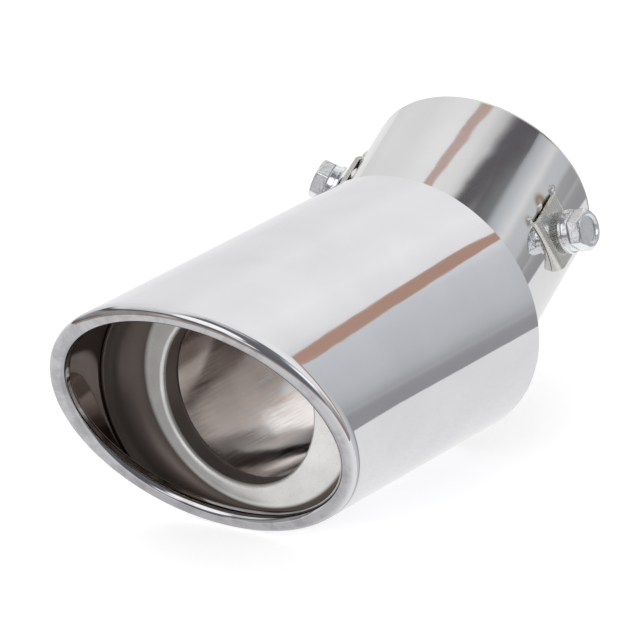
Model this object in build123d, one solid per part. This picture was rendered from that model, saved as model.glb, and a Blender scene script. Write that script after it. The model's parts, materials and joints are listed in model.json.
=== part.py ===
from build123d import *
import os
from math import cos, hypot, radians, sqrt, tan

# Curved exhaust tip in polished stainless sheet: an oval shell with a slanted, rolled mouth, a drawn
# baffle and a round inner tube inside it, a round inlet pipe bent up and aside at the rear, and two
# clamp screws. The mouth's cut leans aside too, so the tip is handed.
# Millimetres and degrees. +Z is up and the mouth looks towards -Y.
# The origin is the centre of the inlet pipe's open end.

# Inlet pipe and rear cap
pipe_diameter = 63.0
pipe_wall = 1.0
pipe_length = 50.7
pipe_edge_radius = 0.3
pipe_rise = 20.1
pipe_yaw = 11.2
cap_sheet = 1.2

# Outer shell, an oval wider and higher than the pipe
width_over_pipe = 19.2
height_over_pipe = 9.5
shell_length = 96.5
shell_sheet = 0.8
mouth_slant = 24.9
mouth_lean = 12.5
rim_width = 4.8
rim_depth = 4.0
rim_flat = 0.1

# Baffle: a drawn oval cup, open to the mouth, with an eccentric round hole
baffle_sheet = 0.8
baffle_depth = 22.4
baffle_corner_radius = 6.5
baffle_wall = 10.0
baffle_rim_gap = 0.2
hole_diameter = 47.8
hole_shift_x = -3.7
hole_shift_z = -2.3
hole_edge_radius = 1.1
collar_length = 7.0

# Inner tube, pushed over the baffle's collar
tube_sheet = 0.8
tube_face_gap = 0.6
tube_pipe_gap = 0.8

# Clamp brackets: folded plates welded to the pipe, one each side
clamp_station = 31.9
clamp_lift = 21.0
bracket_length = 13.9
bracket_width = 16.1
bracket_sheet = 1.2
bracket_fold_radius = 0.8
bracket_standoff = 0.3
bracket_slide = -5.0
bracket_shift_along = -1.7
bracket_shift_round = 1.8
bracket_leg_reach = 5.0

# Clamp screws and their washers
thread_diameter = 6.0
thread_clearance = 0.05
pipe_hole_diameter = 7.0
bolt_length = 6.3
bolt_tip_chamfer = 0.8
hex_across_flats = 10.0
hex_height = 4.0
hex_crown_diameter = 9.5
hex_crown_angle = 30
bolt_rest_gap = 1.2
spring_washer_diameter = 10.9
spring_washer_hole = 6.2
spring_washer_thickness = 1.5
spring_washer_slit = 0.9
spring_washer_slit_angle = 20
flat_washer_diameter = 12.0
flat_washer_hole = 6.4
flat_washer_thickness = 1.2
flat_washer_edge = 0.2

# Clearance of a part that is seated in or on another and tacked there
seat_clearance = 0.05
weld_clearance = 0.1

# Worked out from the driving dimensions
pipe_radius = pipe_diameter / 2
half_width = (pipe_diameter + width_over_pipe) / 2
half_height = (pipe_diameter + height_over_pipe) / 2
rim_radius = (rim_width - rim_flat) / 2
hole_radius = hole_diameter / 2
baffle_face = shell_length - baffle_depth
slant_rate = tan(radians(mouth_slant))
lean_rate = tan(radians(mouth_lean))
slope_length = hypot(1, slant_rate, lean_rate)
mouth_reach = shell_length + pipe_diameter * (slant_rate + lean_rate)
plate_top = pipe_radius + bracket_standoff + bracket_sheet

# The pipe's frame has its origin at the inlet's open end, with Y out along the pipe. The shell's own
# frame has its origin on the shell's axis at the rear edge, where the pipe's axis meets it.
pipe_frame = Rot(Z=pipe_yaw) * Rot(X=pipe_rise)
bend_point = (pipe_frame * Pos(0, -pipe_length, 0)).position
shell_frame = Pos(bend_point)
bend_cos = cos(radians(pipe_rise)) * cos(radians(pipe_yaw))
bend_sin = sqrt(1 - bend_cos**2)


def oval_prism(inset, rear, front):
    """Oval block of the shell's outline drawn in by inset, between two stations on the shell's axis."""
    upright = Rot(Z=90) * Ellipse(half_height - inset, half_width - inset)
    return extrude(Plane.XZ.offset(rear) * upright, front - rear)


def slant_plane(setback):
    """Plane parallel to the mouth, setback behind it at right angles to it, facing forward."""
    axis_point = (0, setback * slope_length - shell_length, 0)
    return Plane(origin=axis_point, z_dir=(lean_rate, -1, -slant_rate))


def behind_mouth(solid, setback):
    """The part of a solid that lies behind a plane parallel to the mouth."""
    return split(solid, bisect_by=slant_plane(setback), keep=Keep.BOTTOM)


def round_mouth_edges(ring, radius):
    """Round both edges of the ring's slanted front face."""
    ahead = Axis((0, 0, 0), slant_plane(0).z_dir)
    front_face = ring.faces().filter_by(GeomType.PLANE).sort_by(ahead)[-1]
    return fillet(front_face.edges(), radius)


def along_shell(radius, rear, front):
    """Round block about the baffle hole's axis, between two stations on the shell's axis."""
    centre = Plane.XZ.offset(rear) * Pos(hole_shift_x, hole_shift_z)
    return extrude(centre * Circle(radius), front - rear)


def make_outer_shell():
    """Oval sleeve cut on the slant, with its front edge rolled inwards and back on itself."""
    rolled = behind_mouth(oval_prism(0, 0, mouth_reach), 0) - oval_prism(rim_width, 0, mouth_reach)
    rolled = round_mouth_edges(rolled, rim_radius)
    barrel = behind_mouth(oval_prism(shell_sheet, 0, mouth_reach), rim_depth)
    leg_inset = rim_width - shell_sheet
    hollow = oval_prism(shell_sheet, 0, mouth_reach) - oval_prism(leg_inset, 0, mouth_reach)
    hollow = round_mouth_edges(behind_mouth(hollow, shell_sheet), rim_radius - shell_sheet)
    return shell_frame * (rolled - barrel - hollow)


def make_front_baffle():
    """Drawn cup that lines the mouth, with a turned-in collar round its hole."""
    wall_inset = shell_sheet + seat_clearance
    rear = baffle_face - baffle_sheet
    outside = oval_prism(wall_inset, rear, mouth_reach)
    outside = fillet(outside.edges().group_by(Axis.Y)[-1], baffle_corner_radius + baffle_sheet)
    inside = oval_prism(wall_inset + baffle_sheet, baffle_face, mouth_reach)
    inside = fillet(inside.edges().group_by(Axis.Y)[-1], baffle_corner_radius)
    cup = outside - inside
    front_plane = Plane.XZ.offset(baffle_face + baffle_wall)
    cup = split(cup, bisect_by=front_plane, keep=Keep.BOTTOM)
    cup = behind_mouth(cup, rim_depth + baffle_rim_gap)

    collar_rear = baffle_face - collar_length
    cup = cup + along_shell(hole_radius + baffle_sheet, collar_rear, baffle_face)
    cup = cup - along_shell(hole_radius, collar_rear, mouth_reach)
    hole_edges = cup.edges().filter_by(GeomType.CIRCLE).sort_by(Axis.Y)
    cup = fillet(hole_edges[0], hole_edge_radius)
    return shell_frame * cup


def make_inner_tube():
    """Straight round tube from the baffle's collar back to the pipe, cut square to the pipe."""
    inside = hole_radius + baffle_sheet + seat_clearance
    front = baffle_face - baffle_sheet - tube_face_gap
    outer = along_shell(inside + tube_sheet, 0, front)
    tube = shell_frame * (outer - along_shell(inside, 0, front))
    pipe_end = pipe_length + (cap_sheet + pipe_radius * bend_sin) / bend_cos
    behind = extrude(Plane.XZ * Circle(pipe_diameter), pipe_end + tube_pipe_gap)
    return tube - pipe_frame * behind


def pipe_rod(radius):
    """Round rod on the pipe's axis that reaches well past the rear cap."""
    rod = extrude(Plane.XZ * Circle(radius), pipe_length + pipe_diameter)
    return pipe_frame * rod


def make_rear_cap():
    """Flat oval plate set into the shell's rear edge, with a hole for the slanted pipe."""
    plate = shell_frame * oval_prism(shell_sheet + seat_clearance, 0, cap_sheet)
    return plate - pipe_rod(pipe_radius + seat_clearance)


def make_inlet_pipe():
    """Round pipe trimmed flush with the rear cap's inner face, with a hole under each clamp screw."""
    inner_face = Plane.XZ.offset(cap_sheet - bend_point.Y)
    pipe = pipe_rod(pipe_radius) - pipe_rod(pipe_radius - pipe_wall)
    pipe = split(pipe, bisect_by=inner_face, keep=Keep.BOTTOM)
    rims = pipe.edges().filter_by(GeomType.CIRCLE)
    pipe = fillet(rims, pipe_edge_radius)
    for side in (1, -1):
        drill = extrude(bolt_plane(side) * Circle(pipe_hole_diameter / 2), plate_top)
        pipe = pipe - clamp_frame(side) * drill
    return pipe


def clamp_frame(side):
    """Frame of one clamp: X out through its plate, Y along the pipe, Z round the pipe. side 1 is +X."""
    turn = -clamp_lift if side > 0 else clamp_lift - 180
    return pipe_frame * Pos(0, clamp_station - pipe_length, 0) * Rot(Y=turn)


def bolt_plane(side):
    """Plane across the screw's axis, at the pipe's own axis, facing out."""
    return Plane(origin=(0, 0, side * bracket_slide), x_dir=(0, 1, 0), z_dir=(1, 0, 0))


def make_bracket(side):
    """Folded plate with a leg front and rear, trimmed to sit on the pipe, and a tapped hole."""
    leg_end = plate_top - bracket_sheet - bracket_leg_reach
    outer = Pos(0, (leg_end + plate_top) / 2) * Rectangle(bracket_length, plate_top - leg_end)
    outer = fillet(outer.vertices().group_by(Axis.Y)[-1], bracket_fold_radius + bracket_sheet)
    under = plate_top - bracket_sheet
    gap_width = bracket_length - 2 * bracket_sheet
    inner = Pos(0, (leg_end + under) / 2) * Rectangle(gap_width, under - leg_end)
    inner = fillet(inner.vertices().group_by(Axis.Y)[-1], bracket_fold_radius)
    section_plane = Plane(origin=(0, 0, 0), x_dir=(0, 1, 0), z_dir=(0, 0, -1))
    channel = extrude(section_plane * (outer - inner), bracket_width / 2, both=True)
    channel = Pos(0, bracket_shift_along, side * (bracket_slide + bracket_shift_round)) * channel
    pipe_core = extrude(Plane.XZ * Circle(pipe_radius + weld_clearance), bracket_length, both=True)
    tapped = extrude(bolt_plane(side) * Circle(thread_diameter / 2), 2 * plate_top)
    return clamp_frame(side) * (channel - pipe_core - tapped)


def on_bolt(side, height):
    """Frame on the screw's axis, height above the plate's outer face, with Z pointing out."""
    seat = bolt_plane(side).offset(plate_top + height)
    return clamp_frame(side) * seat.location


def make_flat_washer(side):
    """Plain washer with softened edges."""
    ring = Circle(flat_washer_diameter / 2) - Circle(flat_washer_hole / 2)
    washer = extrude(ring, flat_washer_thickness)
    rim_edges = washer.edges().filter_by(GeomType.CIRCLE).sort_by(SortBy.RADIUS)[-2:]
    return on_bolt(side, bolt_rest_gap) * chamfer(rim_edges, flat_washer_edge)


def make_spring_washer(side):
    """Split lock washer: a square section ring with a slanted slit."""
    ring = Circle(spring_washer_diameter / 2) - Circle(spring_washer_hole / 2)
    washer = extrude(ring, spring_washer_thickness)
    cutter = Box(spring_washer_diameter, spring_washer_slit, 4 * spring_washer_thickness)
    slit = Pos(spring_washer_diameter / 2, 0, spring_washer_thickness / 2) * Rot(X=spring_washer_slit_angle)
    return on_bolt(side, bolt_rest_gap + flat_washer_thickness) * (washer - slit * cutter)


def make_bolt(side):
    """Hex head screw: crowned hexagon and a plain shank of the thread's outside size."""
    corner = hex_across_flats / 2 / cos(radians(30))
    crown = hex_crown_diameter / 2
    shoulder = hex_height - (corner - crown) * tan(radians(hex_crown_angle))
    prism = extrude(RegularPolygon(corner, 6), hex_height)
    crown_points = [(0, 0), (corner, 0), (corner, shoulder), (crown, hex_height), (0, hex_height)]
    crown_face = make_face(Polyline(*crown_points, close=True))
    head = prism & revolve(Plane.XZ * crown_face, Axis.Z)
    shank = Pos(0, 0, -bolt_length) * extrude(Circle(thread_diameter / 2 - thread_clearance), bolt_length)
    shank = chamfer(shank.edges().group_by(Axis.Z)[0], bolt_tip_chamfer)
    stack = bolt_rest_gap + flat_washer_thickness + spring_washer_thickness
    return on_bolt(side, stack) * (head + shank)


nodes = {
    "outer_shell": make_outer_shell(),
    "front_baffle": make_front_baffle(),
    "inner_tube": make_inner_tube(),
    "rear_cap": make_rear_cap(),
    "inlet_pipe": make_inlet_pipe(),
}
for name, side in (("right", 1), ("left", -1)):
    nodes[name + "_clamp_bracket"] = make_bracket(side)
    nodes[name + "_clamp_bolt"] = make_bolt(side)
    nodes[name + "_spring_washer"] = make_spring_washer(side)
    nodes[name + "_flat_washer"] = make_flat_washer(side)

os.makedirs("parts", exist_ok=True)
for node, solid in nodes.items():
    export_step(solid, "parts/" + node + ".step")
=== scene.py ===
import json
from math import cos, pi, radians, sin, sqrt, tan

import bpy
import numpy as np
from mathutils import Matrix, Vector


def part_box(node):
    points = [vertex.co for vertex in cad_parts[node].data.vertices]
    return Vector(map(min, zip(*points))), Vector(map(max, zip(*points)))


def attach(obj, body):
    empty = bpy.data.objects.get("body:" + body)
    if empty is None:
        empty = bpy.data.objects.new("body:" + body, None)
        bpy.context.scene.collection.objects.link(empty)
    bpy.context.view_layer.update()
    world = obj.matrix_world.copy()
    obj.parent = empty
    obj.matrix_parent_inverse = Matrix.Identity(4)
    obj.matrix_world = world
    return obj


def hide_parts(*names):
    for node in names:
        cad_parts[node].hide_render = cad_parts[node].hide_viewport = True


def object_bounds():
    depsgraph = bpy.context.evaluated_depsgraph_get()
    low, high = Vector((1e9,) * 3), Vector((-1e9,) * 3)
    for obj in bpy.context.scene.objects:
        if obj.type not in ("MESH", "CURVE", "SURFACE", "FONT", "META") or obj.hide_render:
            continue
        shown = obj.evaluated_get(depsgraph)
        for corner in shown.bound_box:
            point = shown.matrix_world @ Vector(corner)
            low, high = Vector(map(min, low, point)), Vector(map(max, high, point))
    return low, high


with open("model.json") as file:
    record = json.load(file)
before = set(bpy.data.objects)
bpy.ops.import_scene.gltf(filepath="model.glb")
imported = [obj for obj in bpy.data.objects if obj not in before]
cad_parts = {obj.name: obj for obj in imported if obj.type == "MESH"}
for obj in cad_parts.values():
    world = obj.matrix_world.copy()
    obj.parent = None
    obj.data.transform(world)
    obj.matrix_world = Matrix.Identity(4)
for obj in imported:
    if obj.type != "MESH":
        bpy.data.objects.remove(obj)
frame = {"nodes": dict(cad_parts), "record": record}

cad_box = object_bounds()
NODES = frame["nodes"]
RECORD = frame["record"]
MM = 0.001

# The shell's frame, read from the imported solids: its axis runs along Y, and the mouth looks towards -Y
shell_low, shell_high = (np.array(corner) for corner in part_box("outer_shell"))
shell_middle = (shell_high + shell_low) / 2
HALF_WIDTH, _, HALF_HEIGHT = (shell_high - shell_low) / 2
SHELL_REAR = np.array([shell_middle[0], shell_high[1], shell_middle[2]])
FLOOR_Z = cad_box[0][2]

# Sizes shared with the solids
SHELL_LENGTH = 96.5 * MM
SHELL_SHEET = 0.8 * MM
SLANT_RATE = tan(radians(24.9))
LEAN_RATE = tan(radians(12.5))
SLOPE_LENGTH = sqrt(1 + SLANT_RATE**2 + LEAN_RATE**2)
RIM_WIDTH = 4.8 * MM
RIM_RADIUS = 2.35 * MM
RIM_DEPTH = 4.0 * MM
BAFFLE_FACE = 74.1 * MM
BAFFLE_SHEET = 0.8 * MM
BAFFLE_WALL = 10.0 * MM
BAFFLE_INSET = 0.85 * MM
BAFFLE_BEHIND_RIM = 0.2 * MM
HOLE_RADIUS = 23.9 * MM
HOLE_CENTRE = np.array([-3.7, -2.3]) * MM
HOLE_EDGE = 1.1 * MM
COLLAR_LENGTH = 7.0 * MM
CAP_SHEET = 1.2 * MM
PIPE_RADIUS = 31.5 * MM
PIPE_WALL = 1.0 * MM
PIPE_LENGTH = 50.7 * MM
PIPE_EDGE = 0.3 * MM
SCREW_HOLE = 3.5 * MM
CLAMP_STATION = 31.9 * MM
CLAMP_LIFT = radians(21.0)
CLAMP_SLIDE = -5.0 * MM

# The pipe's axis out of the bend, and the level and upright directions across it
PIPE_AXIS = np.array(RECORD["mounts"][0]["axis"])
PIPE_LEVEL = np.array([PIPE_AXIS[1], -PIPE_AXIS[0], 0.0]) / np.hypot(PIPE_AXIS[0], PIPE_AXIS[1])
PIPE_UPRIGHT = np.cross(PIPE_LEVEL, PIPE_AXIS)

# Camera, from the view in the photograph
IMAGE_SIZE = 640
FOCAL_PIXELS = 7000
SENSOR_WIDTH = 36.0
VIEW_AZIMUTH = radians(34.45)
VIEW_ELEVATION = radians(23.06)
VIEW_ROLL = radians(1.66)
VIEW_DISTANCE = 1.8364
AIM_FROM_REAR = np.array([0.0, -0.040, 0.0])
AIM_SHIFT_PIXELS = np.array([-4.34, 33.15])
CLIP_START = 0.05
CLIP_END = 50.0


def add_camera():
    """Camera turned by azimuth and elevation about the aim point, then rolled about its line of sight."""
    right = np.array([cos(VIEW_AZIMUTH), sin(VIEW_AZIMUTH), 0.0])
    level = cos(VIEW_ELEVATION)
    back = np.array([sin(VIEW_AZIMUTH) * level, -cos(VIEW_AZIMUTH) * level, sin(VIEW_ELEVATION)])
    up = np.cross(back, right)
    side = right * cos(VIEW_ROLL) + up * sin(VIEW_ROLL)
    top = -right * sin(VIEW_ROLL) + up * cos(VIEW_ROLL)
    shift = AIM_SHIFT_PIXELS * VIEW_DISTANCE / FOCAL_PIXELS
    aim = SHELL_REAR + AIM_FROM_REAR + side * shift[0] + top * shift[1]
    eye = aim + back * VIEW_DISTANCE
    data = bpy.data.cameras.new("camera")
    data.sensor_width = SENSOR_WIDTH
    data.lens = FOCAL_PIXELS * SENSOR_WIDTH / IMAGE_SIZE
    data.clip_start = CLIP_START
    data.clip_end = CLIP_END
    camera = bpy.data.objects.new("camera", data)
    turn = Matrix((side, top, back)).transposed()
    camera.matrix_world = Matrix.Translation(Vector(eye)) @ turn.to_4x4()
    bpy.context.scene.collection.objects.link(camera)
    bpy.context.scene.camera = camera


# The sockets of a Mix node that carry its share and its colours, and the output that carries their mix
MIX_INPUTS = (0, 6, 7)
MIX_OUTPUT = 2


class Graph:
    """Short names for the nodes of one shader tree."""

    def __init__(self, tree):
        self.tree = tree
        tree.nodes.clear()

    def put(self, socket, value):
        """Link a socket to an input, or set the input's own value. A colour of three parts is opaque."""
        if isinstance(value, bpy.types.NodeSocket):
            self.tree.links.new(value, socket)
        elif socket.type == "RGBA":
            socket.default_value = (*value, 1.0)
        else:
            socket.default_value = value

    def node(self, kind, **values):
        """A node of that kind. A value is a property of the node, or else the input so named."""
        made = self.tree.nodes.new(kind)
        for key, value in values.items():
            if hasattr(made, key):
                setattr(made, key, value)
            else:
                self.put(made.inputs[key.replace("_", " ")], value)
        return made

    def math(self, operation, *terms):
        """One Math node on up to three terms."""
        made = self.node("ShaderNodeMath", operation=operation)
        for socket, term in zip(made.inputs, terms):
            self.put(socket, term)
        return made.outputs[0]

    def vector(self, operation, first, second):
        """One Vector Math node on two vectors: a vector, or the value of a distance or a dot product."""
        made = self.node("ShaderNodeVectorMath", operation=operation)
        self.put(made.inputs[0], first)
        self.put(made.inputs[1], second)
        return made.outputs["Value" if operation in ("DISTANCE", "DOT_PRODUCT") else "Vector"]

    def span(self, value, low, high, start=0.0, end=1.0):
        """A value from low to high, mapped smoothly to start to end and held at both ends."""
        made = self.node("ShaderNodeMapRange", interpolation_type="SMOOTHSTEP", Value=value)
        for name, term in (("From Min", low), ("From Max", high), ("To Min", start), ("To Max", end)):
            self.put(made.inputs[name], term)
        return made.outputs[0]

    def noise(self, place, scale, detail=3.0, roughness=0.5):
        """Cloudy noise about one half."""
        made = self.node("ShaderNodeTexNoise", Vector=place, Scale=scale, Detail=detail, Roughness=roughness)
        return made.outputs[0]

    def ramp(self, value, stops):
        """Colour ramp through (place, colour) stops."""
        made = self.node("ShaderNodeValToRGB")
        elements = made.color_ramp.elements
        for place, _ in stops[2:]:
            elements.new(place)
        for element, (place, colour) in zip(elements, sorted(stops)):
            element.position = place
            element.color = (*colour, 1.0)
        self.put(made.inputs[0], value)
        return made.outputs[0]

    def mix(self, share, first, second):
        """Colour mix: first where share is 0, second where it is 1."""
        made = self.node("ShaderNodeMix", data_type="RGBA")
        for index, value in zip(MIX_INPUTS, (share, first, second)):
            self.put(made.inputs[index], value)
        return made.outputs[MIX_OUTPUT]

    def either(self, share, first, second):
        """Shader mix: first where share is 0, second where it is 1."""
        made = self.node("ShaderNodeMixShader")
        for socket, value in zip(made.inputs, (share, first.outputs[0], second.outputs[0])):
            self.put(socket, value)
        return made

    def parts(self, place):
        """The x, y and z of a place or a direction."""
        return self.node("ShaderNodeSeparateXYZ", Vector=place).outputs

    def mark(self, name):
        """An attribute of the mesh, as one value."""
        return self.node("ShaderNodeAttribute", attribute_name=name).outputs["Fac"]

    def surface(self, shader):
        """Material output."""
        out = self.node("ShaderNodeOutputMaterial")
        self.put(out.inputs["Surface"], shader.outputs[0])


def new_material(name):
    """Empty material and its graph."""
    material = bpy.data.materials.new(name)
    material.use_nodes = True
    return material, Graph(material.node_tree)


def tone(value, warm=0.0):
    """A grey, warmer above 0 and cooler below."""
    return (value * (1 + warm), value, value * (1 - warm))


# Studio: what a polished surface sees around it. The rings are tones by degrees about the shell's axis and
# about the pipe's axis, from the right over the top.
SHELL_RING = [
    (-180, tone(0.90)), (-60, tone(0.32, -0.01)), (-20, tone(0.365, -0.015)), (-10, tone(0.385, -0.015)),
    (-3, tone(0.44, -0.02)), (8, tone(0.58, -0.025)), (20, tone(0.64, -0.03)), (31, tone(0.66, -0.03)),
    (44, tone(0.69, -0.03)), (56, tone(0.74, -0.025)), (70, tone(0.96)), (92, tone(1.06)),
    (116, tone(1.00)), (134, tone(1.00)), (148, tone(0.94)), (180, tone(0.90)),
]
PIPE_RING = [
    (-180, tone(0.89)), (-50, tone(0.36)), (-30, tone(0.37)), (-6, tone(0.44)), (6, tone(0.61)),
    (18, tone(0.84, -0.01)), (30, tone(0.63, -0.04)), (36, tone(0.54, -0.04)), (42, tone(0.24, -0.03)),
    (56, tone(0.18, -0.02)), (62, tone(0.42)), (76, tone(0.68)), (88, tone(0.88)), (114, tone(0.98)),
    (128, tone(0.97)), (150, tone(0.90)), (180, tone(0.89)),
]
# Where a ring or a side of the room comes in: two values of a direction's x, y or z, none to full
SHELL_RING_FROM_Y = (0.70, 0.73)
SHELL_RING_TO_Y = (0.81, 0.785)
RINGS_FROM_Y = (0.06, 0.27)
RIGHT_FROM_X = (-0.28, 0.05)
# The room before the mouth: its right side, and tones by the sine of the elevation on its left side
RIGHT_TONE = (0.17, 0.175, 0.195)
LEFT_HEIGHTS = [
    (0.0, tone(0.46)), (0.36, tone(0.42)), (0.43, tone(0.13, 0.06)), (0.50, tone(0.13, 0.04)),
    (0.58, tone(0.88)), (1.0, tone(1.0)),
]
# Soft white panels: direction, sine of the half spread, level
PANELS = [
    ((0.20, -0.70, 0.685), 0.42, 1.45),
    ((0.78, 0.42, 0.46), 0.24, 1.3),
    ((0.48, -0.83, 0.27), 0.20, 1.2),
    ((-0.17, -0.98, 0.10), 0.15, 0.8),
]
PANEL_BLUR = 0.1
# A dark corner, low on the left
CORNER_TONE = (0.20, 0.17, 0.155)
CORNER_FROM_X = (-0.66, -0.76)
CORNER_FROM_Y = (0.40, 0.30)
CORNER_FROM_Z = (0.17, 0.0)
WHITE = (1.0, 1.0, 1.0)


def ring_ramp(g, ring, across, upright):
    """Tones of a ring by the angle of two parts of a direction. A turn from -180 to 180 becomes 0 to 1."""
    turn = g.math("ADD", g.math("DIVIDE", g.math("ARCTAN2", upright, across), 2 * pi), 0.5)
    return g.ramp(turn, [((angle + 180) / 360, colour) for angle, colour in ring])


def light_world():
    """White to the camera. Other rays see grey bands along the shell and the pipe, and a dim room before
    the mouth."""
    world = bpy.data.worlds.new("studio")
    bpy.context.scene.world = world
    world.use_nodes = True
    g = Graph(world.node_tree)
    direction = g.node("ShaderNodeTexCoord").outputs["Generated"]
    x, y, z = g.parts(direction)
    around_shell = ring_ramp(g, SHELL_RING, x, z)
    level = g.vector("DOT_PRODUCT", direction, tuple(PIPE_LEVEL))
    upright = g.vector("DOT_PRODUCT", direction, tuple(PIPE_UPRIGHT))
    around_pipe = ring_ramp(g, PIPE_RING, level, upright)
    on_shell = g.math("MULTIPLY", g.span(y, *SHELL_RING_FROM_Y), g.span(y, *SHELL_RING_TO_Y))
    behind = g.mix(on_shell, around_pipe, around_shell)
    before = g.mix(g.span(x, *RIGHT_FROM_X), g.ramp(z, LEFT_HEIGHTS), RIGHT_TONE)
    room = g.mix(g.span(y, *RINGS_FROM_Y), before, behind)
    for centre, spread, strength in PANELS:
        near = g.span(g.vector("DISTANCE", direction, centre), spread, spread - PANEL_BLUR)
        room = g.mix(near, room, tone(strength))
    corner = g.math("MULTIPLY", g.span(x, *CORNER_FROM_X), g.span(z, *CORNER_FROM_Z))
    corner = g.math("MULTIPLY", corner, g.span(y, *CORNER_FROM_Y))
    room = g.mix(corner, room, CORNER_TONE)
    seen = g.mix(g.node("ShaderNodeLightPath").outputs["Is Camera Ray"], room, WHITE)
    background = g.node("ShaderNodeBackground", Color=seen, Strength=1.0)
    out = g.node("ShaderNodeOutputWorld")
    g.put(out.inputs["Surface"], background.outputs[0])


def steps(first, last, count):
    """Even steps from first to last."""
    return np.linspace(first, last, count)


def column(first, last, count):
    """Even steps as the rows of a grid."""
    return steps(first, last, count)[:, None]


def around(count):
    """Angles of a full turn, without its end."""
    return np.arange(count) * (2 * pi / count)


def grid_object(name, points, close_u=False, close_v=False, keep=None, material=None, starts=(), ends=()):
    """Mesh of quads over a rows by columns grid of points, closed round either way where asked.
    keep, if given, is a mask of the quads to keep. starts and ends are rows that one flat face closes,
    before the first row of a tube and after its last."""
    rows, columns = points.shape[:2]
    index = np.arange(rows * columns).reshape(rows, columns)
    lids = [index[row].tolist() for row in starts] + [index[row, ::-1].tolist() for row in ends]
    if close_u:
        index = np.vstack([index, index[:1]])
    if close_v:
        index = np.hstack([index, index[:, :1]])
    quads = np.stack([index[:-1, :-1], index[1:, :-1], index[1:, 1:], index[:-1, 1:]], axis=-1)
    quads = quads.reshape(-1, 4) if keep is None else quads[keep]
    mesh = bpy.data.meshes.new(name)
    mesh.from_pydata(points.reshape(-1, 3).tolist(), [], quads.tolist() + lids)
    mesh.polygons.foreach_set("use_smooth", np.ones(len(mesh.polygons), dtype=bool))
    mesh.update()
    made = bpy.data.objects.new(name, mesh)
    bpy.context.scene.collection.objects.link(made)
    mesh.materials.append(material)
    return made


def mark_points(made, name, values):
    """Attribute of a mesh, one value a point, for its material."""
    made.data.attributes.new(name, "FLOAT", "POINT").data.foreach_set("value", values.ravel().astype(float))


# The floor, in metres from the shell's rear along x and y. The paper's right edge runs at a slope to a limit
# and flares away before the mouth.
FLOOR_REACH = 4.0
PAPER_EDGE = 0.158
PAPER_EDGE_SLOPE = 0.38
PAPER_EDGE_START = 0.128
PAPER_FLARE_Y = (-0.06, -0.09)
PAPER_FLARE = 0.3
PAPER_EDGE_BLUR = 0.0006
PAPER_FRONT_Y = (-0.30, -0.302)
PAPER_BACK_Y = (0.225, 0.24)
PAPER_BACK_FROM_X = (0.03, 0.06)
PAPER_TONES = (0.90, 0.94)
FIBRE_SCALE = 600.0
# Shade on the paper before the mouth and under it
FRONT_SHADE = (0.86, 0.86, 0.87)
FRONT_SHADE_Y = (-0.095, -0.072)
UNDER_SHADE = (0.68, 0.67, 0.68)
UNDER_SHADE_AT = (-0.002, -0.085)
UNDER_SHADE_REACH = (0.020, 0.046)
# The table round the paper: grey behind, by its distance, and brown before the mouth
TABLE_GREY = (0.365, 0.365, 0.375)
TABLE_GREY_FAR = (0.47, 0.47, 0.485)
TABLE_FAR = (0.25, 1.4)
TABLE_BROWN = (0.50, 0.40, 0.35)
TABLE_BROWN_BEHIND = (0.32, 0.29, 0.28)
TABLE_BROWN_Y = (-0.30, -0.28)
TABLE_GREY_Y = (0.0, 0.06)
PAPER_GLOW = 0.50
# The middle part of a noise's values, and a wider one
NOISE_MIDDLE = (0.3, 0.7)
NOISE_WIDE = (0.25, 0.75)


def floor_material():
    """White paper on a brown table. The camera sees paper and its shadow; reflections see the paper's edges
    and the table too."""
    material, g = new_material("floor_paper")
    place = g.vector("SUBTRACT", g.node("ShaderNodeTexCoord").outputs["Object"], tuple(SHELL_REAR))
    x, y, _ = g.parts(place)
    path = g.node("ShaderNodeLightPath").outputs
    drop = FLOOR_Z - SHELL_REAR[2]
    edge = g.math("MULTIPLY_ADD", y, PAPER_EDGE_SLOPE, PAPER_EDGE_START)
    edge = g.math("ADD", g.math("MINIMUM", edge, PAPER_EDGE), g.span(y, *PAPER_FLARE_Y, 0.0, PAPER_FLARE))
    beyond = g.span(g.math("SUBTRACT", x, edge), -PAPER_EDGE_BLUR, PAPER_EDGE_BLUR)
    behind = g.math("MULTIPLY", g.span(y, *PAPER_BACK_Y), g.span(x, *PAPER_BACK_FROM_X))
    off_paper = g.math("MAXIMUM", beyond, g.math("MAXIMUM", g.span(y, *PAPER_FRONT_Y), behind))
    reach = g.vector("DISTANCE", place, (0.0, 0.0, drop))
    grey = g.mix(g.span(reach, *TABLE_FAR), TABLE_GREY, TABLE_GREY_FAR)
    brown = g.mix(g.span(y, *TABLE_BROWN_Y), TABLE_BROWN, TABLE_BROWN_BEHIND)
    table = g.mix(g.span(y, *TABLE_GREY_Y), brown, grey)
    fibres = g.span(g.noise(place, FIBRE_SCALE), *NOISE_MIDDLE, *PAPER_TONES)
    paper = g.node("ShaderNodeCombineColor", Red=fibres, Green=fibres, Blue=fibres).outputs[0]
    shaded = g.mix(g.span(y, *FRONT_SHADE_Y), FRONT_SHADE, paper)
    under = g.vector("DISTANCE", place, (*UNDER_SHADE_AT, drop))
    shaded = g.mix(g.span(under, *UNDER_SHADE_REACH), UNDER_SHADE, shaded)
    mirrored = g.node("ShaderNodeEmission", Color=g.mix(off_paper, shaded, table))
    diffuse = g.node("ShaderNodeBsdfDiffuse", Color=paper)
    glow = g.node("ShaderNodeEmission", Color=WHITE)
    g.put(glow.inputs["Strength"], g.math("MULTIPLY", path["Is Camera Ray"], PAPER_GLOW))
    lit = g.node("ShaderNodeAddShader")
    g.put(lit.inputs[0], diffuse.outputs[0])
    g.put(lit.inputs[1], glow.outputs[0])
    g.surface(g.either(path["Is Glossy Ray"], lit, mirrored))
    return material


def add_floor():
    """Level sheet under the part."""
    u, v = np.meshgrid(steps(-1, 1, 9), steps(-1, 1, 9))
    points = np.stack([u * FLOOR_REACH, v * FLOOR_REACH, np.full_like(u, FLOOR_Z)], axis=-1)
    grid_object("floor", points, material=floor_material())


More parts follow.
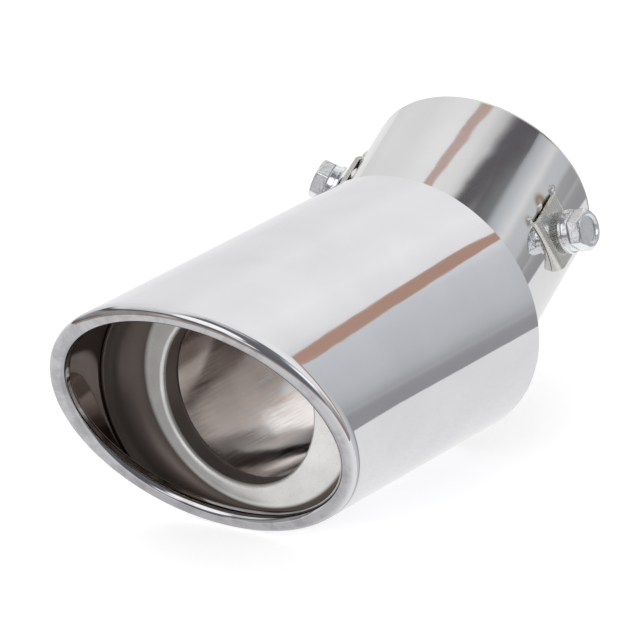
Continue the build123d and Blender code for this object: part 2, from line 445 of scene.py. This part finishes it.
def add_lamp(name, place, aim, size, power):
    """Square soft lamp that faces a point. It lights plain and satin faces and makes no mirror image."""
    data = bpy.data.lights.new(name, "AREA")
    data.shape = "SQUARE"
    data.size = size
    data.energy = power
    lamp = bpy.data.objects.new(name, data)
    turn = (Vector(place) - Vector(aim)).to_track_quat("Z", "Y")
    lamp.matrix_world = Matrix.Translation(Vector(place)) @ turn.to_matrix().to_4x4()
    lamp.visible_glossy = False
    bpy.context.scene.collection.objects.link(lamp)


def card_material(name, colour, soft):
    """A card that only reflections see. It fades out over the soft share of its width at each edge."""
    material, g = new_material(name)
    edge = g.span(g.math("ABSOLUTE", g.mark("across")), 1.0 - soft, 1.0, 1.0, 0.0)
    seen = g.math("MULTIPLY", edge, g.node("ShaderNodeLightPath").outputs["Is Glossy Ray"])
    clear = g.node("ShaderNodeBsdfTransparent")
    g.surface(g.either(seen, clear, g.node("ShaderNodeEmission", Color=colour)))
    return material


def add_card(name, start, end, across, colour, soft, bow=0.0, pinch=0.0):
    """Flat strip between two points of the shell's frame, in millimetres, with its half width as a vector.
    The middle is bowed along that vector by a parabola, and the far half narrows by the pinch times a
    square."""
    start, end, across = (np.array(v) * MM for v in (start, end, across))
    u, v = np.meshgrid(steps(0, 1, 33), steps(-1, 1, 21), indexing="ij")
    wide = v * (1 - pinch * np.maximum(0, 2 * u - 1) ** 2) + bow * 4 * u * (1 - u)
    points = SHELL_REAR + start + u[..., None] * (end - start) + wide[..., None] * across
    card = grid_object(name, points, material=card_material(name, colour, soft))
    mark_points(card, "across", v)


def lip(x, z):
    """Station of the mouth's plane on the shell's axis, at a place across the shell."""
    return -SHELL_LENGTH - z * SLANT_RATE + x * LEAN_RATE


def oval(angle, inset):
    """Point of the shell's outline drawn in by inset: half sizes less the inset, times cosine and sine."""
    return (HALF_WIDTH - inset) * np.cos(angle), (HALF_HEIGHT - inset) * np.sin(angle)


# Rows and columns of the shell's grid, the share of its length from the rear edge to the first full row, and
# the small steps that keep its edges crisp
SHELL_COLUMNS = 480
SHELL_ROWS = 42
CURL_ROWS = 49
REAR_SHARE = 0.0004
CURL_STEP = 0.2 * MM
NICK = 0.03 * MM
# Rows past the outer wall where the rim's finish begins and is full, and where the inward painted shade
# begins
RIM_FINISH_ROWS = (7, 15)
INWARD_ROWS = 52


def make_shell(material):
    """Oval sleeve with a rolled rim. The section runs up the outer wall, over a half circle whose centre
    follows the slanted mouth, down the curl's inner leg and back inside the curl, then down the inner wall
    to the rear edge. A row's station is its share of the way from the rear edge to the curl's centre, plus
    how far it lies ahead of that centre."""
    curl = steps(0, pi, CURL_ROWS)
    inner_curl = curl[::4]
    half = RIM_WIDTH / 2
    inner_half = half - SHELL_SHEET
    inner_radius = RIM_RADIUS - SHELL_SHEET
    leg = RIM_WIDTH
    back = leg - SHELL_SHEET
    foot = RIM_DEPTH - RIM_RADIUS
    wall = np.append(0.0, steps(REAR_SHARE, 1, SHELL_ROWS))
    sections = [
        (0.0, wall, 0.0),
        (half * (1 - np.cos(curl)), 1.0, RIM_RADIUS * np.sin(curl)),
        (leg, 1.0, -steps(CURL_STEP, foot, 6)),
        (steps(leg - NICK, back + NICK, 4), 1.0, -foot - NICK),
        (back, 1.0, -steps(foot, CURL_STEP, 5)),
        (half + inner_half * np.cos(inner_curl), 1.0, inner_radius * np.sin(inner_curl)),
        (SHELL_SHEET, wall[::-1], 0.0),
        (steps(SHELL_SHEET - NICK, NICK, 4), 0.0, 0.0),
    ]
    rows = [np.stack(np.broadcast_arrays(*section)) for section in sections]
    inset, share, ahead = np.concatenate(rows, axis=1)[..., None]
    angle = around(SHELL_COLUMNS)[None, :]
    x, z = oval(angle, inset)
    along = np.stack([-HALF_WIDTH * np.sin(angle), HALF_HEIGHT * np.cos(angle)])
    climb = (LEAN_RATE * along[0] - SLANT_RATE * along[1]) / np.hypot(along[0], along[1])
    centre = lip(*oval(angle, half)) + RIM_RADIUS * SLOPE_LENGTH
    y = share * (centre - ahead * np.sqrt(1 + climb**2))
    front = shell_low[1] - SHELL_REAR[1]
    y = y * min(1.0, front / y.min())
    points = np.stack([x + 0 * y, y, z + 0 * y], axis=-1) + SHELL_REAR
    shell = grid_object("shell_skin", points[:, ::-1], close_u=True, close_v=True, material=material)
    row = np.arange(len(points)) - wall.size
    inward = row >= INWARD_ROWS
    first, full = RIM_FINISH_ROWS
    rolled = np.clip((row - first) / (full - first), 0, 1) * ~inward
    # The inside mark carries the painted shade of the inward faces
    mark_points(shell, "inside", np.repeat(inward, SHELL_COLUMNS))
    mark_points(shell, "rim", np.repeat(rolled, SHELL_COLUMNS))
    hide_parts("outer_shell")
    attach(shell, "tip")


BAFFLE_COLUMNS = 360
FLAT_HALF_WIDTH = 31.2 * MM
FLAT_HALF_HEIGHT = 29.8 * MM
BOWL_RISE = 8.0 * MM
# Shares of the flat ring and of the wall where their rows begin and end, clear of the bends' own rows
FLAT_FROM = 0.02
FLAT_TO = 0.98
WALL_FROM = 0.05


def make_baffle(material):
    """Drawn cup. From inside the collar the section turns out over a quarter circle to the flat ring, which
    runs from the round hole to an oval, then over a quarter ellipse to the oval wall and up to its edge, and
    back behind by the sheet's thickness. Each row is a blend of the hole's circle and the oval at the same
    angle. No row stands ahead of a plane just behind the rolled rim."""
    turn = steps(0, pi / 2, 15)[1:]
    bowl = steps(0, pi / 2, 25)
    angle = around(BAFFLE_COLUMNS)[None, :]
    ring = np.stack([np.cos(angle), np.sin(angle)])
    centre = HOLE_CENTRE[:, None, None]
    flat = np.stack([FLAT_HALF_WIDTH * ring[0], FLAT_HALF_HEIGHT * ring[1]])

    def collar(radius, station):
        """Circles about the hole's centre."""
        return centre + ring * radius[None, :, None], station[:, None] + 0 * angle

    def plate(share, start, station):
        """Rows from the hole's circle to the flat oval, by a share of the way."""
        inner = centre + ring * start
        return inner + (flat - inner) * share[None, :, None], np.full((len(share), angle.size), station)

    def cup(quarter, inset, station, rise):
        """Rows from the flat oval to the wall's, out by a sine and up by one less a cosine."""
        wall = np.stack(oval(angle, inset))
        place = flat + (wall - flat) * np.sin(quarter)[None, :, None]
        return place, station - rise * (1 - np.cos(quarter))[:, None] + 0 * angle

    def upright(share, inset, low, high):
        """Ovals of the wall between two stations."""
        wall = np.stack(oval(angle, inset))
        return wall + 0 * share[None, :, None], low + (high - low) * share[:, None] + 0 * angle

    face = -BAFFLE_FACE
    behind = face + BAFFLE_SHEET
    rear = face + COLLAR_LENGTH
    bend = face - BOWL_RISE
    edge = face - BAFFLE_WALL
    outer = HOLE_RADIUS + BAFFLE_SHEET
    inside = BAFFLE_INSET + BAFFLE_SHEET
    rows = [
        collar(np.full(6, HOLE_RADIUS), steps(rear, face + HOLE_EDGE, 6)),
        collar(HOLE_RADIUS + HOLE_EDGE * (1 - np.cos(turn)), face + HOLE_EDGE * (1 - np.sin(turn))),
        plate(steps(FLAT_FROM, 1, 12), HOLE_RADIUS + HOLE_EDGE, face),
        cup(bowl[1:], inside, face, BOWL_RISE),
        upright(steps(WALL_FROM, 1, 8), inside, bend, edge),
        upright(steps(0, 1, 8), BAFFLE_INSET, edge, bend),
        cup(bowl[::-1][1:], BAFFLE_INSET, behind, BOWL_RISE + BAFFLE_SHEET),
        plate(steps(FLAT_TO, 0, 8), outer, behind),
        collar(np.full(6, outer), steps(behind, rear, 6)),
    ]
    x, z = np.concatenate([place for place, _ in rows], axis=1)
    y = np.concatenate([station for _, station in rows])
    y = np.maximum(y, lip(x, z) + (RIM_DEPTH + BAFFLE_BEHIND_RIM) * SLOPE_LENGTH)
    points = np.stack([x, y, z], axis=-1) + SHELL_REAR
    baffle = grid_object("baffle_skin", points, close_u=True, close_v=True, material=material)
    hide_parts("front_baffle")
    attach(baffle, "tip")


def out_of_pipe(angle):
    """Direction out of the pipe at an angle about its axis from the level."""
    return np.cos(angle)[..., None] * PIPE_LEVEL + np.sin(angle)[..., None] * PIPE_UPRIGHT


def on_pipe(station, angle, radius):
    """Point at a station along the pipe from the bend, an angle about its axis and a radius."""
    return SHELL_REAR + station[..., None] * PIPE_AXIS + radius[..., None] * out_of_pipe(angle)


def at_cap(angle, radius, depth):
    """Station at which a line along the pipe meets a plane at a depth before the shell's rear edge."""
    return (-depth - radius * out_of_pipe(angle)[..., 1]) / PIPE_AXIS[1]


# The two clamps: 1 on the pipe's level direction, -1 across from it
SIDES = {"right": 1, "left": -1}


def clamp_angle(side, local):
    """Angle about the pipe's axis from an angle off a clamp's own direction, on the right or the left."""
    return CLAMP_LIFT + local if side > 0 else pi - CLAMP_LIFT - local


# Rows and columns of the pipe's grid, the row where the darker inward colour begins, a reach that counts as
# far from a hole, and the least reach to divide by
PIPE_COLUMNS = 400
OUTER_ROWS = 88
INNER_ROWS = 60
PIPE_CURL_ROWS = 7
INWARD_PIPE_ROWS = 98
FAR_OFF = 1.0
LEAST_REACH = 1e-6


def make_pipe(material):
    """Round pipe from the cap's inner face to a rounded open end, walls by angle and station. Round the two
    screw holes, points inside the hole's circle move out to it, and quads with all corners inside are left
    out."""
    curl = steps(0, pi / 2, PIPE_CURL_ROWS)
    shrink, onward = PIPE_EDGE * (1 - np.cos(curl)), PIPE_EDGE * np.sin(curl)
    inner = PIPE_RADIUS - PIPE_WALL
    sections = [
        (PIPE_RADIUS, steps(0, 1, OUTER_ROWS), 0.0),
        (PIPE_RADIUS - shrink, 1.0, onward),
        (inner + shrink[::-1], 1.0, onward[::-1]),
        (inner, steps(1, 0, INNER_ROWS), 0.0),
    ]
    rows = [np.stack(np.broadcast_arrays(*section)) for section in sections]
    radius, share, past = np.concatenate(rows, axis=1)[..., None]
    angle = around(PIPE_COLUMNS)[None, :]
    start = at_cap(angle, radius, CAP_SHEET)
    station = start + share * (PIPE_LENGTH - PIPE_EDGE - start) + past
    keep = np.ones(station.shape, dtype=bool)
    for side in SIDES.values():
        local = (angle - CLAMP_LIFT) if side > 0 else (pi - CLAMP_LIFT - angle)
        local = (local + pi) % (2 * pi) - pi
        sideways = radius * np.sin(local) - CLAMP_SLIDE
        along = station - CLAMP_STATION
        reach = np.where(np.cos(local) > 0, np.hypot(sideways, along), FAR_OFF)
        near = reach < SCREW_HOLE
        grow = np.where(near, SCREW_HOLE / np.maximum(reach, LEAST_REACH), 1.0)
        pair = near & np.roll(near, -1, 1)
        keep &= ~(pair & np.roll(pair, -1, 0))
        station = np.where(near, CLAMP_STATION + along * grow, station)
        moved = np.arcsin(np.clip((sideways * grow + CLAMP_SLIDE) / radius, -1, 1))
        angle = np.where(near, clamp_angle(side, moved), angle)
    points = on_pipe(station, angle, radius + 0 * angle)
    pipe = grid_object("pipe_skin", points, close_u=True, close_v=True, keep=keep, material=material)
    mark_points(pipe, "inside", np.repeat(np.arange(len(points)) >= INWARD_PIPE_ROWS, PIPE_COLUMNS))
    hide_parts("inlet_pipe")
    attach(pipe, "tip")


HOLE_COLUMNS = 96


def make_hole_edges(material):
    """Edges of the pipe's two screw holes: each runs from the outer wall to the inner wall along the hole's
    circle, whose sideways part over the radius is the sine of the angle from the clamp's own direction."""
    turn = around(HOLE_COLUMNS)[None, :]
    radius = np.array([[PIPE_RADIUS], [PIPE_RADIUS - PIPE_WALL]]) + 0 * turn
    local = np.arcsin((SCREW_HOLE * np.cos(turn) + CLAMP_SLIDE) / radius)
    station = CLAMP_STATION + SCREW_HOLE * np.sin(turn) + 0 * radius
    right, left = (on_pipe(station, clamp_angle(side, local), radius) for side in SIDES.values())
    points = np.concatenate([right, left[:, ::-1]])
    keep = np.repeat([[True], [False], [True]], HOLE_COLUMNS, axis=1)
    edges = grid_object("screw_hole_edges", points, close_v=True, keep=keep, material=material)
    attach(edges, "tip")


WELD_RADIUS = 0.9 * MM
WELD_COLUMNS = 720
# Ripples of the weld: waves in a full turn, share of the radius, turn of the first crest
WELD_RIPPLES = [(110, 0.10, 0), (7, 0.06, 1)]


def make_weld(material):
    """Weld round the pipe at the cap: a round bead along the oval where the pipe leaves the cap, its radius
    rippled by cosines of the way round."""
    angle = around(WELD_COLUMNS)
    radius = np.full(WELD_COLUMNS, PIPE_RADIUS)
    path = on_pipe(at_cap(angle, radius, 0.0), angle, radius)
    back = np.array([0.0, 1.0, 0.0])
    ripples = sum(share * np.cos(waves * angle + ahead) for waves, share, ahead in WELD_RIPPLES)
    ripple = WELD_RADIUS * (1 + ripples)
    turn = around(18)[None, :, None]
    points = path[:, None] + ripple[:, None, None] * (
        np.cos(turn) * out_of_pipe(angle)[:, None] + np.sin(turn) * back)
    weld = grid_object("pipe_weld", points[:, ::-1], close_u=True, close_v=True, material=material)
    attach(weld, "tip")


# Tacks on each clamp plate's upper edge: station along the pipe in millimetres, turn above the clamp's own
# direction in degrees, half sizes along and round the pipe in millimetres
TACKS = [(37.9, 9.0, 2.0, 1.6), (23.2, 10.4, 1.6, 1.5), (29.6, 9.9, 2.2, 0.9)]
TACK_HEIGHT = 0.75 * MM
TACK_SINK = 0.1 * MM
TACK_RINGS = 12
TACK_COLUMNS = 32
TACK_POLE = 0.001
TACK_RIPPLES = 5
TACK_RIPPLE = 0.06


def make_tacks(name, material):
    """Weld tacks: domes on the pipe, each a disc of polar rings raised by a cosine of the way out, with a
    slight ripple round it. One grid holds the rings of all of them, and the quads between two domes are left
    out."""
    side = SIDES[name]
    turn = around(TACK_COLUMNS)[None, :]
    way = column(TACK_POLE, 1, TACK_RINGS)
    domes = []
    for station, lift, half_along, half_round in TACKS:
        ripple = way * MM * (1 + TACK_RIPPLE * np.cos(TACK_RIPPLES * turn + station))
        along = station * MM + ripple * np.cos(turn) * half_along
        local = radians(lift) + ripple * np.sin(turn) * half_round / PIPE_RADIUS
        radius = PIPE_RADIUS - TACK_SINK + TACK_HEIGHT * np.cos(way * pi / 2) + 0 * turn
        domes.append(on_pipe(along, clamp_angle(side, local), radius))
    points = np.concatenate(domes)
    keep = np.ones((len(points) - 1, TACK_COLUMNS), dtype=bool)
    keep[TACK_RINGS - 1::TACK_RINGS] = False
    tacks = grid_object(name + "_tacks", points[:, ::side], close_v=True, keep=keep, material=material,
                        starts=range(0, len(points), TACK_RINGS),
                        ends=range(TACK_RINGS - 1, len(points), TACK_RINGS))
    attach(tacks, "tip")


# The clamp screws, from the tip to the dished head
BOLT_COLUMNS = 144
SKIN_INSET = 0.005 * MM
TIP_RADIUS = 2.15 * MM
TIP_SLOPE_RADII = (2.2 * MM, 2.6 * MM)
TIP_SLOPE_HEIGHTS = (0.05 * MM, 0.75 * MM)
THREAD_START = 0.8 * MM
THREAD_ROOT = 2.5 * MM
THREAD_RISE = 0.44 * MM
THREAD_PITCH = 1.0 * MM
SHANK_LENGTH = 6.3 * MM
NECK_RADIUS = 2.95 * MM
UNDER_HEAD_SHARE = 0.97
CREASE = 0.05 * MM
HEAD_HEIGHT = 4.0 * MM
HEAD_FLATS = 10.0 * MM
HEAD_FOOT = 0.12 * MM
HEAD_CREASE = 0.03 * MM
CROWN_RADIUS = 4.75 * MM
CROWN_SLOPE = tan(radians(30))
CROWN_SHARES = (0.02, 0.98)
DISH_RADIUS = 3.7 * MM
DISH_ROUND = 0.4 * MM
DISH_FLAT_SHARE = 0.97
DISH_DEPTH = 0.75 * MM
POLE_RADIUS = 0.01 * MM
POLE_SHARE = 0.002


def bolt_frame(name):
    """Base and axis of a clamp screw's hinge, the tip's height on it, and two directions across it, the
    first through a corner of the solid's hexagon."""
    joints = RECORD["behaviour"]["joints"]
    hinge = next(joint for joint in joints if joint["name"] == name + "_bolt_turn")
    axis, base = np.array(hinge["axis"]), np.array(hinge["pos_m"])
    solid = NODES[name + "_clamp_bolt"].data.vertices
    corners = np.empty(len(solid) * 3)
    solid.foreach_get("co", corners)
    corners = corners.reshape(-1, 3) - base
    length = corners @ axis
    spread = corners - length[:, None] * axis
    first = spread[np.linalg.norm(spread, axis=1).argmax()]
    first = first / np.linalg.norm(first)
    return base, axis, length.min(), first, np.cross(axis, first)


def make_bolt(name, material):
    """Clamp screw about its own axis. Rows run from the middle of the tip, along the thread, out under the
    head, up the hexagon, over the crown and down into the dished top. A thread row's radius is a triangle
    wave of its length less one pitch a turn; a hexagon row's is half the width across flats over the cosine
    of the angle from the nearest flat, and the crown falls at thirty degrees outside its circle."""
    base, axis, tip, first, second = bolt_frame(name)
    turn = around(BOLT_COLUMNS)[None, :]
    hexagon = (HEAD_FLATS / 2 - SKIN_INSET) / np.cos(turn % (pi / 3) - pi / 6)
    shank = column(THREAD_START, SHANK_LENGTH - CREASE, 84)
    wave = np.abs((shank / THREAD_PITCH - turn / (2 * pi)) % 1 * 2 - 1)
    top = SHANK_LENGTH + HEAD_HEIGHT - SKIN_INSET
    shoulder = top - (hexagon - CROWN_RADIUS) * CROWN_SLOPE
    side = shoulder - SHANK_LENGTH - HEAD_FOOT - HEAD_CREASE
    crown = column(*CROWN_SHARES, 7)
    dish = column(0, pi / 2, 8)
    rows = [
        (column(POLE_RADIUS, TIP_RADIUS, 4), 0.0),
        (column(*TIP_SLOPE_RADII, 4), column(*TIP_SLOPE_HEIGHTS, 4)),
        (THREAD_ROOT + THREAD_RISE * wave, shank),
        (NECK_RADIUS + (hexagon * UNDER_HEAD_SHARE - NECK_RADIUS) * column(0, 1, 6), SHANK_LENGTH),
        (hexagon, SHANK_LENGTH + HEAD_FOOT + side * column(0, 1, 9)),
        (hexagon + (CROWN_RADIUS - hexagon) * crown, shoulder + (top - shoulder) * crown),
        (column(CROWN_RADIUS, DISH_RADIUS + DISH_ROUND + CREASE, 4), top),
        (DISH_RADIUS + DISH_ROUND * np.cos(dish), top - DISH_DEPTH * np.sin(dish)),
        (DISH_RADIUS * column(DISH_FLAT_SHARE, POLE_SHARE, 10), top - DISH_DEPTH),
    ]
    grids = [np.stack(np.broadcast_arrays(out, up, turn)[:2]) for out, up in rows]
    radius, height = np.concatenate(grids, axis=1)[..., None]
    across = np.cos(turn)[..., None] * first + np.sin(turn)[..., None] * second
    points = base + (tip + height) * axis + radius * across
    bolt = grid_object(name + "_bolt_skin", points[:, ::-1], close_v=True, material=material,
                       starts=[0], ends=[-1])
    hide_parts(name + "_clamp_bolt")
    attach(bolt, name + "_bolt")


# Finishes. Scales of their patterns, in cells a metre
LINE_SCALE = 1500.0
CLOUD_SCALE = 45.0
SPECK_SCALE = 5200.0
WAVE_SCALE = 75.0
WEAR_SCALE = 160.0
STAIN_SCALE = 110.0
LINE_STRETCH = 0.94
CLOUD_SHADE = 0.95
SPECK_TONE = (0.35, 0.33, 0.31)
SPECKS = (0.70, 0.78, 0.0, 0.12)
# Cloudy drift of the edge of the painted shade on the tube's top
SHADE_DRIFT = (0.2, 0.8, -6 * MM, 6 * MM)
RIM_WEAR = (0.42, 0.62, 0.0, 0.55)
RIM_WEAR_SHADE = 0.66
POLISH_SPREAD = (0.7, 1.4)
LINE_RELIEF = 4e-6
LINE_STRENGTH = 0.22
CLOUD_RELIEF = 0.6
SATIN_SHADE = 0.88
SATIN_SPREAD = (0.8, 1.25)
STAINS = (0.55, 0.75)
GRAIN_STRENGTH = 0.5
# Heat tint by the way out from a weld spot, and where it fades
HEAT_TINT = [
    (0.0, (0.52, 0.50, 0.48)), (0.25, (0.42, 0.33, 0.26)), (0.42, (0.36, 0.26, 0.19)),
    (0.62, (0.60, 0.50, 0.40)), (0.85, (0.70, 0.66, 0.60)),
]
HEAT_FADE = (0.55, 1.0)


def scaled(values, share):
    """Values, such as a colour's parts, times a share."""
    return tuple(value * share for value in values)


def polished(name, colour, rough, along, wave, tints=(), inside=None, rim=None, top_shade=None):
    """Polished steel: shallow waves of a given height from hand polishing, faint drawn lines along a
    direction, cloudy polish marks, specks, and heat tint rings at spots.
    inside and rim, if given, are the colours of the inward faces and of the rolled edge: the inside darker,
    on the shell a painted shade, and the rim duller. The top shade, if given, is a colour of painted shade
    that comes in upwards between two heights on the shell's axis."""
    material, g = new_material(name)
    place = g.node("ShaderNodeTexCoord").outputs["Object"]
    stretch = tuple(1.0 - LINE_STRETCH * abs(part) for part in along)
    lines = g.noise(g.vector("MULTIPLY", place, stretch), LINE_SCALE, 4.0, 0.6)
    clouds = g.noise(place, CLOUD_SCALE, 4.0)
    specks = g.noise(place, SPECK_SCALE, 2.0)
    base = g.mix(g.span(clouds, *NOISE_MIDDLE), scaled(colour, CLOUD_SHADE), colour)
    base = g.mix(g.span(specks, *SPECKS), base, SPECK_TONE)
    # Painted shade: the metal turns upwards to the top shade colour, its edge drifting with the clouds
    if top_shade is not None:
        shade, low, high = top_shade
        shade_height = g.math("ADD", g.parts(place)[2], g.span(clouds, *SHADE_DRIFT))
        base = g.mix(g.span(shade_height, SHELL_REAR[2] + low * MM, SHELL_REAR[2] + high * MM), base, shade)
    # Inward faces take the inside colour; on the shell it is painted shade
    if inside is not None:
        base = g.mix(g.mark("inside"), base, inside)
    if rim is not None:
        wear = g.span(g.noise(place, WEAR_SCALE, 5.0, 0.65), *RIM_WEAR)
        base = g.mix(g.mark("rim"), base, g.mix(wear, rim, scaled(rim, RIM_WEAR_SHADE)))
    for spot, size, strength in tints:
        way = g.math("DIVIDE", g.vector("DISTANCE", place, tuple(spot)), size)
        heat = g.ramp(way, HEAT_TINT + [(1.0, colour)])
        base = g.mix(g.span(way, *HEAT_FADE, strength, 0.0), base, heat)
    shader = g.node("ShaderNodeBsdfPrincipled", Metallic=1.0, Base_Color=base)
    g.put(shader.inputs["Roughness"], g.span(lines, *NOISE_WIDE, *scaled(POLISH_SPREAD, rough)))
    waves = g.node("ShaderNodeBump", Strength=1.0, Distance=wave, Height=g.noise(place, WAVE_SCALE, 1.0))
    height = g.math("ADD", lines, g.math("MULTIPLY", clouds, CLOUD_RELIEF))
    bump = g.node("ShaderNodeBump", Strength=LINE_STRENGTH, Distance=LINE_RELIEF, Height=height)
    g.put(bump.inputs["Normal"], waves.outputs[0])
    g.put(shader.inputs["Normal"], bump.outputs[0])
    g.surface(shader)
    return material


def satin(name, colour, rough, grain, relief, stain, metallic=1.0, dark=(), cover=0.35):
    """Satin metal: fine grain in relief and roughness, cloudy tone, and stains on the grain, as strong as
    the cover. dark, if given, lists colours of painted shade with two stations on the shell's axis between
    which the metal turns to each."""
    material, g = new_material(name)
    place = g.node("ShaderNodeTexCoord").outputs["Object"]
    fine = g.noise(place, grain, 3.0, 0.6)
    broad = g.noise(place, STAIN_SCALE, 4.0)
    base = g.mix(g.span(broad, *NOISE_MIDDLE), scaled(colour, SATIN_SHADE), colour)
    base = g.mix(g.span(fine, *STAINS, 0.0, cover), base, stain)
    y = g.parts(place)[1]
    # Painted shade: darker colours over stretches of the shell's axis
    for shade, start, end in dark:
        base = g.mix(g.span(y, SHELL_REAR[1] + start * MM, SHELL_REAR[1] + end * MM), base, shade)
    shader = g.node("ShaderNodeBsdfPrincipled", Metallic=metallic, Base_Color=base)
    g.put(shader.inputs["Roughness"], g.span(fine, *NOISE_WIDE, *scaled(SATIN_SPREAD, rough)))
    bump = g.node("ShaderNodeBump", Strength=GRAIN_STRENGTH, Distance=relief, Height=fine)
    g.put(shader.inputs["Normal"], bump.outputs[0])
    g.surface(shader)
    return material


def clamp_spot(side, station, lift):
    """Place on the pipe beside a clamp, at a station in millimetres and a turn above it in degrees."""
    angle = clamp_angle(side, radians(lift))
    return on_pipe(np.array(station * MM), np.array(angle), np.array(PIPE_RADIUS))


# Heat tints beside each clamp: station in millimetres, turn above the clamp in degrees, size, strength
CLAMP_TINTS = [(31.5, 11.4, 3.4 * MM, 0.9), (23.2, 11.2, 2.6 * MM, 0.55)]
SHELL_AXIS = (0, 1, 0)
LAMP_PLACE = SHELL_REAR + (0.10, -1.30, 0.26)

add_camera()
light_world()
add_floor()
add_lamp("front_lamp", place=LAMP_PLACE, aim=SHELL_REAR, size=0.5, power=9.0)
add_card("brown_edge", start=(291, 400, 379), end=(130, 400, 329), across=(-8.7, 0, 28.0),
         colour=(0.53, 0.34, 0.26), soft=0.12, bow=0.50, pinch=0.12)
add_card("brown_rail", start=(-170, 121, 400), end=(-36, 207, 400), across=(33, 0, 0),
         colour=(0.60, 0.46, 0.41), soft=0.2)
add_card("dark_gap", start=(-72, 94, 600), end=(376, 542, 600), across=(-33, 33, 0),
         colour=(0.135, 0.13, 0.14), soft=0.75)

tints = [(clamp_spot(side, station, lift), size, strength)
         for station, lift, size, strength in CLAMP_TINTS for side in SIDES.values()]
# The shell's dark brown inside colour is painted shade along its inner wall
shell_steel = polished("shell_steel", colour=(0.742, 0.740, 0.765), rough=0.045, along=SHELL_AXIS,
                       wave=2.5e-5, inside=(0.15, 0.122, 0.112), rim=(0.60, 0.595, 0.61))
pipe_steel = polished("pipe_steel", colour=(0.752, 0.745, 0.752), rough=0.055, along=PIPE_AXIS, wave=6e-5,
                      tints=tints, inside=(0.46, 0.42, 0.40))
# The tube's darker top is painted shade
tube_steel = polished("tube_steel", colour=(0.86, 0.815, 0.795), rough=0.14, along=SHELL_AXIS, wave=1.5e-4,
                      top_shade=((0.30, 0.265, 0.245), -24, 2))
# The baffle's dark bands are painted shade: on the bowl and wall ahead of the face, and in the collar behind
# it
baffle_steel = satin("baffle_steel", colour=(0.87, 0.86, 0.835), rough=0.36, grain=1900.0, relief=4e-5,
                     stain=(0.50, 0.48, 0.45), metallic=0.6,
                     dark=[((0.115, 0.092, 0.082), -74.12, -74.45), ((0.17, 0.14, 0.127), -73.2, -72.4)])
bracket_nickel = satin("bracket_nickel", colour=(0.84, 0.835, 0.80), rough=0.25, grain=2000.0, relief=2.5e-5,
                       stain=(0.45, 0.44, 0.41), metallic=0.85)
zinc_plate = satin("zinc_plate", colour=(0.96, 0.975, 1.0), rough=0.12, grain=800.0, relief=1.6e-4,
                   stain=(0.58, 0.61, 0.68), metallic=0.93, cover=0.45)
weld_bead = satin("weld_bead", colour=(0.62, 0.58, 0.53), rough=0.24, grain=1400.0, relief=2e-5,
                  stain=(0.36, 0.28, 0.22))
tack_metal = satin("tack_metal", colour=(0.84, 0.83, 0.81), rough=0.16, grain=1600.0, relief=1e-5,
                   stain=(0.42, 0.36, 0.30), metallic=0.72)
FINISHES = {
    "polished_shell": shell_steel,
    "satin_baffle": baffle_steel,
    "polished_tube": tube_steel,
    "bracket_steel": bracket_nickel,
    "zinc_screw": zinc_plate,
}
for part in RECORD["subparts"]:
    node = NODES[part["node"]]
    node.data.materials.clear()
    node.data.materials.append(FINISHES[part["material_slot"]])
make_shell(shell_steel)
make_baffle(baffle_steel)
make_pipe(pipe_steel)
make_hole_edges(pipe_steel)
for name in SIDES:
    make_bolt(name, zinc_plate)
make_weld(weld_bead)
for name in SIDES:
    make_tacks(name, tack_metal)

bpy.context.scene.view_settings.view_transform = "Standard"
